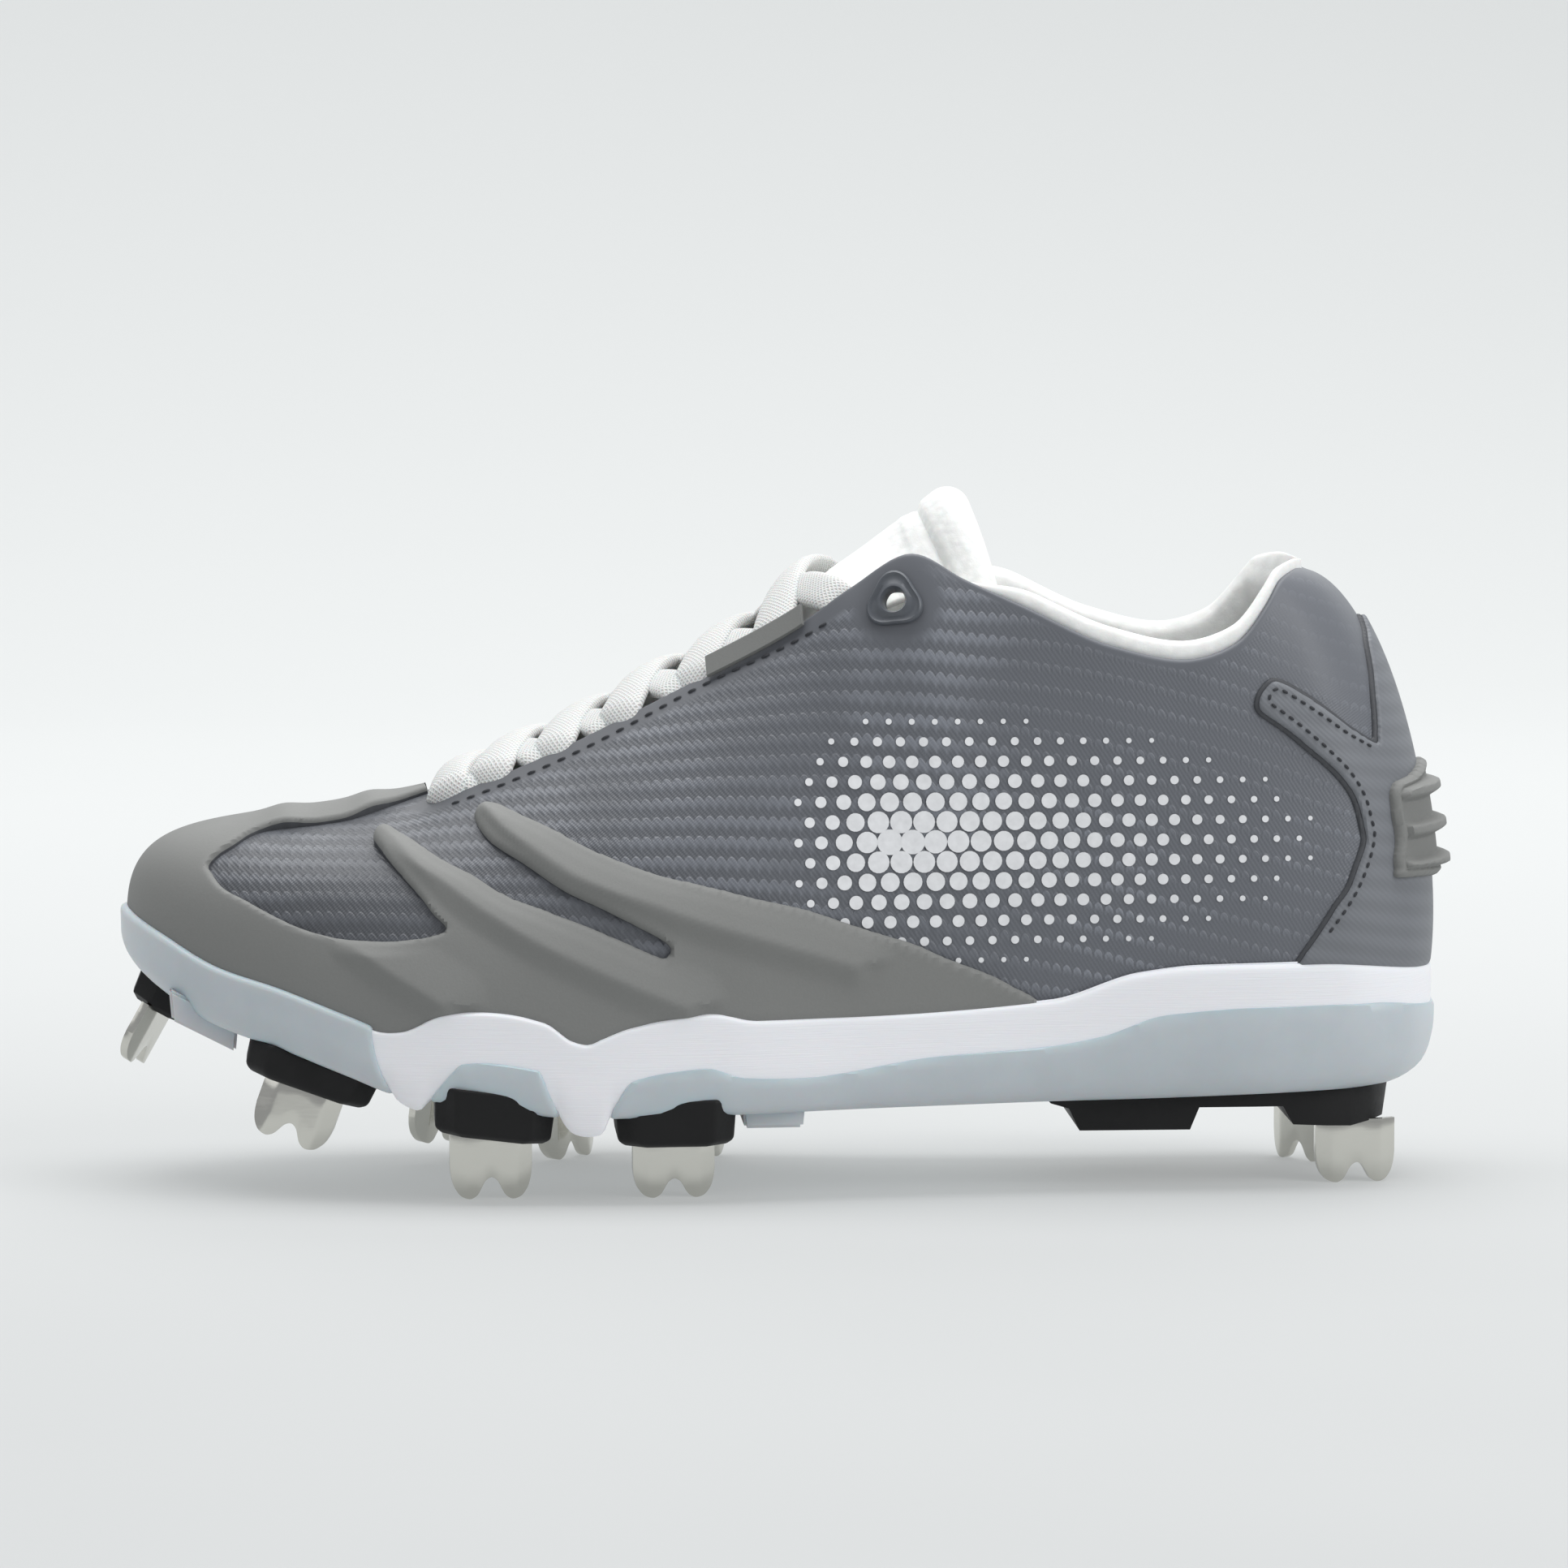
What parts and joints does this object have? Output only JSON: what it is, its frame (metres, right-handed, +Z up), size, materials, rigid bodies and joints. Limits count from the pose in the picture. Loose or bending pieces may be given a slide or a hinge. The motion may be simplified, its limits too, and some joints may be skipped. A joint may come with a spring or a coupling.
{
  "type": "baseball cleat",
  "caption": "Low baseball cleat with a woven upper, rubber toe overlay with swept fingers, white laces and steel blade studs on moulded pads.",
  "frame": {"origin": "middle of the shoe's overall box on the floor it stands on", "axes": "+Z up, toe towards -X, heel towards +X, outer side of the foot towards -Y"},
  "size_m": [0.2966, 0.0974, 0.1513],
  "materials": {
    "outsole_rubber": "translucent satin",
    "midsole_foam": "satin, finely brushed",
    "woven_upper": "embossed weave, light sheen",
    "overlay_rubber": "matt",
    "counter_film": "matt",
    "white_textile": "matt",
    "black_plastic": "satin",
    "blade_steel": "nickel plated"
  },
  "bodies": {
    "root": {"outsole": "outsole_rubber", "midsole": "midsole_foam", "upper": "woven_upper", "insole": "white_textile", "tongue": "white_textile", "collar_lining": "white_textile", "laces": "white_textile", "toe_overlay": "overlay_rubber", "heel_counter": "counter_film", "heel_grip": "overlay_rubber", "eyelet_lateral": "overlay_rubber", "eyelet_medial": "overlay_rubber", "tab_lateral": "counter_film", "tab_medial": "counter_film", "heel_plate": "black_plastic", "blade_heel_lateral": "blade_steel", "blade_heel_medial": "blade_steel", "pad_a": "black_plastic", "blade_a": "blade_steel", "pad_b": "black_plastic", "blade_b": "blade_steel", "pad_c": "black_plastic", "blade_c": "blade_steel", "pad_d": "black_plastic", "blade_d": "blade_steel", "pad_e": "black_plastic", "blade_e": "blade_steel", "pad_f": "black_plastic", "blade_f": "blade_steel", "pad_g": "black_plastic", "blade_g": "blade_steel"}
  },
  "joints": []
}
